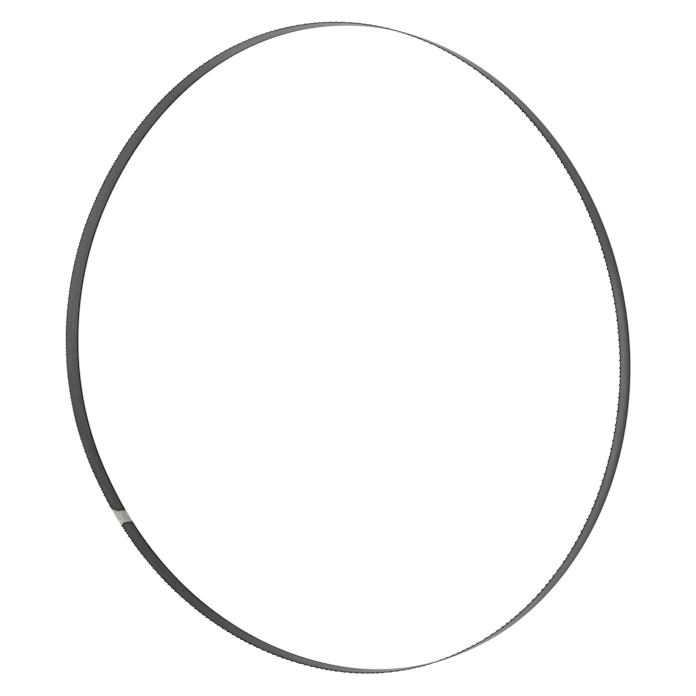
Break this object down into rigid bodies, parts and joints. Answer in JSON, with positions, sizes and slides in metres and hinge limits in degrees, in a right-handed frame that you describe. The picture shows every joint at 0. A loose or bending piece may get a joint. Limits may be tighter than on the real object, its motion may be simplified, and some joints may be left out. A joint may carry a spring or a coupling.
{
  "type": "band saw blade",
  "caption": "Closed loop of thin toothed steel band for a band saw, with set teeth on one edge and a ground butt weld.",
  "frame": {"origin": "middle of the loop, on the plane of the band's back edge", "axes": "+Z from the back edge to the teeth, along the axis of the loop; the loop is a little longer along Y than along X"},
  "size_m": [0.411, 0.4432, 0.013],
  "materials": {
    "steel": "dark heat-treated grey steel, bright at the ground weld"
  },
  "bodies": {
    "root": {"blade": "steel"}
  },
  "joints": []
}
